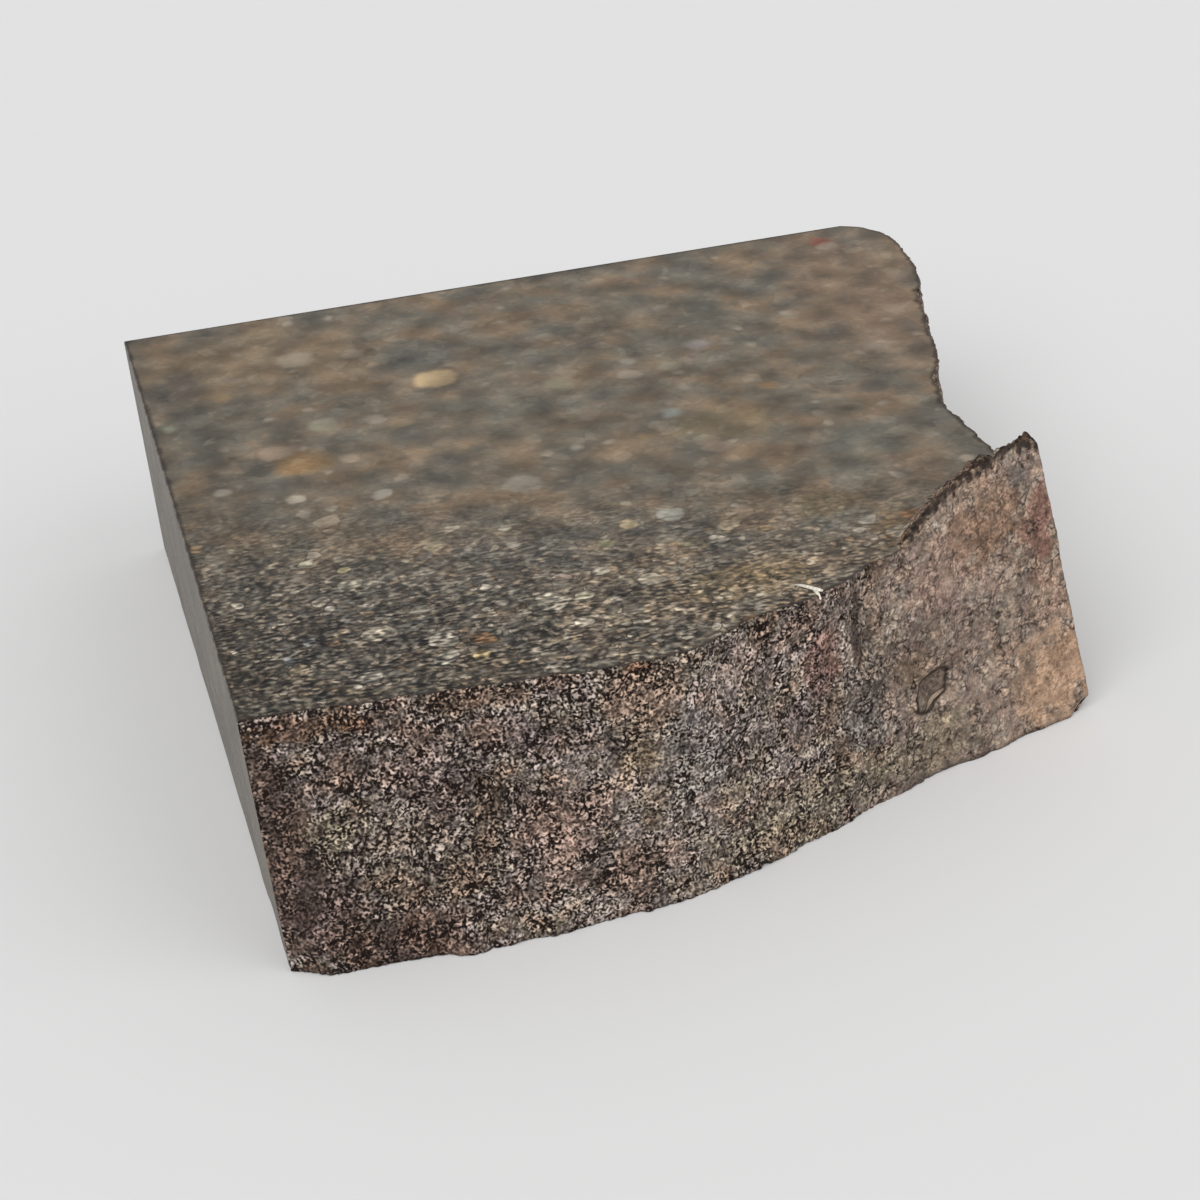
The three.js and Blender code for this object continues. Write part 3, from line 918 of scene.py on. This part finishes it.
# The larger chondrules of the cut face: x, y, radius, colour.
LARGE_CHONDRULES = [
    (12.9, 27.3, 1.05, (196, 170, 130)), (7.3, 32.1, 0.95, (150, 138, 120)), (7.3, 24.3, 0.75, (140, 136, 118)),
    (4.9, 22.3, 0.8, (162, 142, 122)), (7.8, 20.5, 0.5, (156, 138, 118)), (4.9, 17.4, 0.45, (186, 176, 158)),
    (8.4, 16.4, 0.45, (160, 154, 142)), (18, 24.5, 0.8, (142, 134, 110)), (23, 24.4, 0.55, (150, 142, 122)),
    (24.9, 26.2, 0.6, (138, 130, 126)), (21.8, 19.5, 0.52, (138, 140, 134)), (22.6, 15.4, 0.66, (154, 136, 118)),
    (14.1, 15.1, 0.88, (138, 132, 118)), (12.8, 4.6, 0.68, (160, 152, 136)), (14, 4.5, 0.42, (150, 142, 122)),
    (8.3, 3.2, 0.55, (158, 150, 136)), (12.5, 11.3, 0.36, (158, 150, 134)), (17.2, 9.8, 0.42, (168, 150, 120)),
    (19, 10, 0.6, (142, 140, 130)), (20.9, 8.2, 0.52, (160, 144, 120)), (16.8, 4.9, 0.55, (150, 140, 122)),
    (6, 4.6, 0.66, (160, 150, 132)), (8.1, 1.8, 0.5, (150, 144, 130)), (2.7, 2.9, 0.48, (160, 144, 118)),
    (5.1, 1.4, 0.5, (150, 144, 132)), (5.7, 8.9, 0.52, (150, 144, 128)), (9.5, 10.8, 0.46, (154, 142, 118)),
    (9.4, 1.5, 0.34, (172, 152, 112)), (9.7, 2.8, 0.45, (130, 96, 66)), (7.8, 5.9, 0.43, (156, 148, 132)),
    (4.4, 7.9, 0.4, (154, 146, 130)), (3.5, 4.9, 0.32, (142, 142, 138)), (10.5, 23.2, 0.6, (150, 130, 104)),
    (21.5, 25.7, 0.45, (150, 144, 130)), (20, 17.5, 0.45, (146, 124, 90)), (26.5, 20.6, 0.5, (150, 120, 84)),
    (15.9, 8.5, 0.39, (124, 118, 94)), (15.2, 6.3, 0.37, (154, 146, 130)), (3.4, 29.2, 0.6, (136, 116, 86)),
    (0.8, 26.7, 0.4, (150, 152, 134)), (12.5, 9.9, 0.3, (160, 152, 138)), (20.3, 7, 0.3, (164, 154, 138)),
    (19, 7.3, 0.28, (120, 114, 90)), (13.6, 6.4, 0.3, (150, 132, 120)), (10.6, 6.7, 0.25, (182, 172, 156)),
    (10.2, 4.9, 0.22, (184, 176, 160)), (10.9, 5.2, 0.25, (164, 156, 142)), (5.7, 10.3, 0.28, (176, 164, 128)),
    (4.6, 7.2, 0.22, (180, 172, 158)), (2.5, 3.8, 0.3, (120, 122, 124)), (4.6, 0.9, 0.2, (168, 160, 146)),
    (7.9, 6.7, 0.28, (66, 54, 46)), (4.4, 11.4, 0.35, (150, 146, 124)), (19.4, 0.3, 0.37, (168, 124, 82)),
    (2.1, 19.2, 0.4, (164, 156, 142)), (0.4, 14.3, 0.38, (142, 120, 92)), (25.5, 5.8, 0.27, (166, 156, 140)),
]

# Stained areas of the cut face: centre, reach, colour, strength.
CUT_PATCHES = [
    ((5, 33, 0), (6.5, 4, 9), (134, 112, 84), 0.65),
    ((1.6, 31, 0), (1.6, 2, 9), (84, 79, 74), 0.7),
    ((2, 25, 0), (2.6, 4, 9), (98, 99, 90), 0.5),
    ((5.8, 20.7, 0), (1.6, 1.4, 9), (142, 109, 64), 0.85),
    ((12.7, 30.4, 0), (2.2, 2.2, 9), (90, 91, 85), 0.7),
    ((9, 30, 0), (2.2, 3, 9), (132, 109, 80), 0.6),
    ((21.6, 30.6, 0), (1.6, 2.4, 9), (98, 86, 68), 0.6),
    ((25.5, 29.5, 0), (2.4, 3.6, 9), (96, 95, 86), 0.6),
    ((33.7, 29, 0), (3.4, 11, 9), (132, 108, 86), 0.8),
    ((34.1, 36, 0), (0.6, 0.9, 9), (136, 62, 44), 0.9),
    ((15.5, 23.5, 0), (3.2, 3, 9), (102, 103, 94), 0.5),
    ((23.5, 17.6, 0), (3, 2.2, 9), (132, 113, 80), 0.6),
    ((28.5, 13.5, 0), (3, 2.2, 9), (106, 107, 98), 0.5),
    ((20, 3.5, 0), (3.6, 1.7, 9), (156, 128, 82), 0.8),
    ((27.5, 5.8, 0), (1.7, 1.3, 9), (148, 114, 68), 0.65),
    ((25, 8.5, 0), (1.8, 1.2, 9), (140, 119, 80), 0.6),
    ((10.7, 2.3, 0), (0.5, 1.3, 9), (68, 70, 70), 0.9),
    ((5.5, 5.5, 0), (5, 5, 9), (84, 85, 85), 0.5),
    ((11.5, 8, 0), (4, 3.6, 9), (86, 87, 86), 0.55),
    ((2.5, 9.5, 0), (2.2, 3, 9), (92, 92, 86), 0.5),
    ((28, 6.4, 0), (0.6, 0.5, 9), (166, 110, 52), 0.9),
    ((26.4, 4.9, 0), (0.35, 0.4, 9), (160, 118, 64), 0.9),
]
# Chondrules strewn over the cut face, small to large: size of the cubes, share that hold one, radius, and
# their strength at the back and at the front.
STREWN = [(0.55, 0.75, 0.26, 0.3, 0.75), (0.95, 0.6, 0.42, 0.62, 0.8), (1.9, 0.3, 0.75, 0.6, 0.7)]
LARGE_STRENGTH = 0.75
JOINT_WIDTH = 0.07
JOINTS_SHOW = (0.25, 0.9)  # strength of the joints, where they are faint and where they are strong
# Towards the back, x * BACK_TURN + y grows. Over one stretch of it the sharpness of all that is fine falls
# from 1 to BACK_SHARPNESS, and over another the bodies' edges grow wider.
BACK_TURN = 0.3
SHARP_TO_DULL, BACK_SHARPNESS = (4, 21), 0.05
EDGES_WIDEN, EDGE_WIDTHS = (9, 28), (0.04, 0.35)
STREAK_WIDTH, STREAK_STRETCH = 0.19, (0.6, 1, 1)  # fine streaks, longer along x
DOME_RELIEF, STREAK_RELIEF = 0.6, 0.3  # shares of the relief
STREAK_SWING = (0.45, 1.0)  # how far the streaks change the brightness, where dull and where lively
CUT_LIGHT = 0.95  # brightness of the cut face between its streaks, clumps and clouds
CLUMP_SIZE, CLUMP_SWING, CLUMP_LIGHTER = 0.45, 1.4, 0.08
CLOUD_SIZE, CLOUD_SWING = 1.6, 0.6
CUT_DARKEST = 0.15
LEFT_STRIP, STRIP_DARKER = 6, 0.11  # a strip of this width along the left end is darker
CORNER_DARK, CORNER_DARKER = ((4, 1, 0), (10, 9, 9)), 0.14  # and so is the front left corner
# The dark line of painted shade along the cut face's rim, on the cut face and on the other sawn faces: how
# uneven it is, its two edges, strength and colour.
CUT_RIM = (0.5, (0.25, 0.5), 0.85, (44, 35, 29))
SAWN_RIM = (0.6, (0.24, 0.4), 0.7, (44, 37, 32))
CUT_FINISH = (0.06, 0.5, 0.25)  # depth of the relief, roughness and gloss
SAWN_FINISH = (0.02, 0.55, 0.25)


def lay_body(tree, colour, body, mask, joint):
    """Lays a body on a colour as far as its mask says, and then the dark joint round it."""
    return blend(tree, joint, blend(tree, mask, colour, body), tone(*DARK_JOINT))


def rim_line(tree, colour, uneven, line):
    """Lays the dark line of painted shade along the cut face's rim on a colour."""
    unevenness, edges, strength, dark = line
    edge = figure(tree, "MULTIPLY_ADD", uneven, unevenness, attribute(tree, "from_rim"))
    return blend(tree, ramp(tree, edge, *edges, strength, 0.0), colour, tone(*dark))


def cut_bodies(tree, where, ground, sharp, behind):
    """Lays packed grains, strewn chondrules and the large ones on the ground's colour, with their joints.
    Also how far the small grains swell."""
    loose = shaken(tree, shaken(tree, where, 0.9, 0.2), 0.3, 0.08)
    soft = ramp(tree, behind, *EDGES_WIDEN, *EDGE_WIDTHS)
    joints_show = times(tree, ramp(tree, pattern(tree, where, 0.6, 1.0)[0], 0.4, 0.6, *JOINTS_SHOW), sharp)
    colour = ground
    for size, at_back, at_front in PACKED:
        packed = put(tree, GRAINS_PACKED, Vector=loose, Size=size)
        body = blend(tree, GROUND_SHARE, palette(tree, packed["Tone"], GRAIN_COLOURS), ground)
        shown = figure(tree, "MULTIPLY_ADD", sharp, at_front - at_back, at_back)
        colour = lay_body(tree, colour, body, shown, times(tree, packed["Joint"], joints_show))
    for size, share, radius, at_back, at_front in STREWN:
        sockets = {"Size": size, "Share": share, "Radius": radius, "Joint": JOINT_WIDTH, "Soft": soft}
        found = put(tree, CHONDRULES, Vector=loose, **sockets)
        body = blend(tree, GROUND_SHARE, palette(tree, found["Tone"], BODY_COLOURS), ground)
        shown = figure(tree, "MULTIPLY_ADD", sharp, at_front - at_back, at_back)
        mask = times(tree, found["Body"], shown)
        colour = lay_body(tree, colour, body, mask, times(tree, found["Outline"], joints_show))
    flat = vector(tree, "MULTIPLY", loose, (1, 1, 0))
    for x, y, radius, body in LARGE_CHONDRULES:
        sockets = {"Centre": (x, y, 0), "Radius": radius, "Joint": JOINT_WIDTH, "Soft": soft}
        found = put(tree, CHONDRULE, Vector=flat, **sockets)
        mask = times(tree, found["Body"], LARGE_STRENGTH)
        colour = lay_body(tree, colour, tone(*body), mask, times(tree, found["Outline"], joints_show))
    return colour, packed["Dome"]


def cut_light(tree, where, streaks, sharp, uneven):
    """The cut face's share of brightness: CUT_LIGHT, swung by streaks and clumps where it is sharp and by
    clouds everywhere, less along the left end and in the front left corner."""
    swing = times(tree, sharp, ramp(tree, uneven, 0.4, 0.6, *STREAK_SWING))
    light = figure(tree, "MULTIPLY_ADD", figure(tree, "SUBTRACT", streaks, 0.5), swing, CUT_LIGHT)
    clumps = figure(tree, "MULTIPLY_ADD", centred(tree, where, CLUMP_SIZE), CLUMP_SWING, CLUMP_LIGHTER)
    light = figure(tree, "MULTIPLY_ADD", clumps, sharp, light)
    clouds = times(tree, centred(tree, where, CLOUD_SIZE, 0.0), CLOUD_SWING)
    light = figure(tree, "ADD", light, clouds)
    strip = ramp(tree, axis(tree, where, "X"), 0.0, LEFT_STRIP, -STRIP_DARKER, 0.0)
    light = figure(tree, "MAXIMUM", figure(tree, "ADD", light, strip), CUT_DARKEST)
    return figure(tree, "MULTIPLY_ADD", patch(tree, where, CORNER_DARK, 0.5, 0.0), -CORNER_DARKER, light)


def make_cut():
    """The cut face: pale, tan and dark chondrules with dark joints among packed grains, over a grey to rusty
    ground. At the front all of it stands out sharply, and further back it melts away."""
    material, tree, surface, where = start_material("cut_face")
    behind = figure(tree, "MULTIPLY_ADD", axis(tree, where, "X"), BACK_TURN, axis(tree, where, "Y"))
    sharp = ramp(tree, behind, *SHARP_TO_DULL, 1.0, BACK_SHARPNESS)
    uneven = pattern(tree, where, 0.9, 3.0)[0]
    ground = palette(tree, pattern(tree, where, 2.6, 2.0)[0], GROUND_COLOURS)
    ground = patches(tree, where, ground, uneven, 1.0, CUT_PATCHES)
    colour, domes = cut_bodies(tree, where, ground, sharp, behind)
    longer = vector(tree, "MULTIPLY", where, STREAK_STRETCH)
    streaks = put(tree, GRIT, Vector=longer, Size=STREAK_WIDTH)["Height"]
    colour = lit(tree, colour, cut_light(tree, where, streaks, sharp, uneven))
    colour = rim_line(tree, colour, uneven, CUT_RIM)
    raised = figure(tree, "MULTIPLY_ADD", streaks, STREAK_RELIEF, times(tree, domes, DOME_RELIEF))
    dress(tree, surface, colour, times(tree, raised, sharp), *CUT_FINISH)
    return material


SAWN_COLOURS = [(0.38, (108, 104, 99)), (0.6, (122, 115, 106))]
SAWN_FAINT, SAWN_JOINTS = 0.3, 0.25  # strength of the chondrules and their joints
SAWN_SWING = (0.88, 1.1)  # brightness, from the darkest of its fine grain to the lightest
SAWN_PITS = {"Size": 0.7, "Share": 0.25, "Radius": 0.07, "Joint": 0.03}
PIT_COLOUR, PIT_STRENGTH = (50, 44, 40), 0.7


def make_sawn():
    """The other sawn faces: plain grey with faint chondrules and tiny dark pits."""
    material, tree, surface, where = start_material("sawn_stone")
    colour = palette(tree, pattern(tree, where, 3.2, 2.0)[0], SAWN_COLOURS)
    loose = shaken(tree, where, 0.5, 0.1)
    for size, share, radius, _, strength in STREWN:
        found = put(tree, CHONDRULES, Vector=loose, Size=size, Share=share, Radius=radius, Joint=0.06)
        body = palette(tree, found["Tone"], BODY_COLOURS)
        mask = times(tree, found["Body"], SAWN_FAINT, strength)
        colour = lay_body(tree, colour, body, mask, times(tree, found["Outline"], SAWN_JOINTS))
    fine = pattern(tree, where, 0.16, 2.0)[0]
    colour = lit(tree, colour, ramp(tree, fine, 0.3, 0.7, *SAWN_SWING))
    pits = put(tree, CHONDRULES, Vector=where, **SAWN_PITS)["Body"]
    colour = blend(tree, times(tree, pits, PIT_STRENGTH), colour, tone(*PIT_COLOUR))
    colour = rim_line(tree, colour, pattern(tree, where, 0.9, 3.0)[0], SAWN_RIM)
    dress(tree, surface, colour, figure(tree, "SUBTRACT", fine, pits), *SAWN_FINISH)
    return material


SPLINTER_COLOURS = [(0.35, (196, 188, 174)), (0.6, (236, 228, 214))]
THIN_END = (21.6, 22.0)  # the thin end's colour fades out between these places
THIN_END_COLOUR, THIN_END_STRENGTH = (150, 146, 136), 0.75
SPLINTER_FINISH = (0.01, 0.4, 0.4)


def make_splinter_stone():
    """The splinter: a cream mineral with grey streaks, greyer towards its thin end."""
    material, tree, surface, where = start_material("splinter_mineral")
    streaks = pattern(tree, where, 0.12, 2.0)[0]
    colour = palette(tree, streaks, SPLINTER_COLOURS)
    thin_end = ramp(tree, axis(tree, where, "X"), *THIN_END, THIN_END_STRENGTH, 0.0)
    colour = blend(tree, thin_end, colour, tone(*THIN_END_COLOUR))
    dress(tree, surface, colour, streaks, *SPLINTER_FINISH)
    return material


# ------------------------------------------------------------------------------
# The studio

FLOOR_HALF = 3.0  # in metres
FLOOR_COLOUR = (224, 224, 224)
FLOOR_ROUGHNESS, FLOOR_GLOSS = 0.9, 0.1


def make_floor():
    """A wide pale floor at the height of the stone's underside."""
    material = bpy.data.materials.new("floor")
    material.use_nodes = True
    surface = material.node_tree.nodes["Principled BSDF"]
    surface.inputs["Base Color"].default_value = tone(*FLOOR_COLOUR)
    surface.inputs["Roughness"].default_value = FLOOR_ROUGHNESS
    surface.inputs["Specular IOR Level"].default_value = FLOOR_GLOSS
    mesh = bpy.data.meshes.new("floor")
    corners = np.array([(-1, -1, 0), (1, -1, 0), (1, 1, 0), (-1, 1, 0)]) * FLOOR_HALF
    mesh.from_pydata(corners + (0, 0, cad_low.z), [], [(0, 1, 2, 3)])
    mesh.materials.append(material)
    floor = bpy.data.objects.new("floor", mesh)
    bpy.context.scene.collection.objects.link(floor)


AROUND = 0.55  # strength of the light from all round
# Sun lights: name, strength, width of the light in degrees, azimuth that it shines towards, elevation.
LIGHTS = [("key", 1.7, 45, -32, 44), ("fill", 0.6, 60, 45, 30)]


def make_light():
    """Light from all round, a broad soft key from the upper left and a weaker fill from the right."""
    world = bpy.data.worlds.new("studio")
    world.use_nodes = True
    tree = world.node_tree
    around = tree.nodes["Background"]
    around.inputs["Color"].default_value = (1, 1, 1, 1)
    around.inputs["Strength"].default_value = AROUND
    bpy.context.scene.world = world
    for name, strength, width, azimuth, elevation in LIGHTS:
        lamp = bpy.data.lights.new(name, "SUN")
        lamp.energy = strength
        lamp.angle = math.radians(width)
        light = bpy.data.objects.new(name, lamp)
        light.rotation_euler = (math.radians(90 - elevation), 0, math.radians(azimuth))
        bpy.context.scene.collection.objects.link(light)


CAMERA_AT = np.array([-5.968, -87.539, 49.884])  # in millimetres, as the stone
CAMERA_AZIMUTH = 12.6  # to the right of the stone's y
CAMERA_ELEVATION = -28.0
CAMERA_ROLL = -4.5
FOCAL_LENGTH, SENSOR_WIDTH = 84, 36
CAMERA_REACH = (0.005, 20)  # metres between which it sees


def make_camera():
    """A camera that looks down on the stone from its front left."""
    azimuth, elevation, roll = (math.radians(a) for a in (CAMERA_AZIMUTH, CAMERA_ELEVATION, CAMERA_ROLL))
    lens = bpy.data.cameras.new("camera")
    lens.lens = FOCAL_LENGTH
    lens.sensor_width = SENSOR_WIDTH
    lens.clip_start, lens.clip_end = CAMERA_REACH
    camera = bpy.data.objects.new("camera", lens)
    turn = Matrix.Rotation(-azimuth, 4, "Z") @ Matrix.Rotation(math.pi / 2 + elevation, 4, "X")
    camera.matrix_world = Matrix.Translation(in_metres(CAMERA_AT)) @ turn @ Matrix.Rotation(roll, 4, "Z")
    bpy.context.scene.collection.objects.link(camera)
    bpy.context.scene.camera = camera


make_floor()
make_light()
make_camera()
bpy.context.scene.view_settings.view_transform = "Standard"

slab = make_slab([make_crust(), make_broken(), make_sawn(), make_cut()])
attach(slab, "root")
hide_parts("slab")

splinter = make_splinter(make_splinter_stone())
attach(splinter, "root")
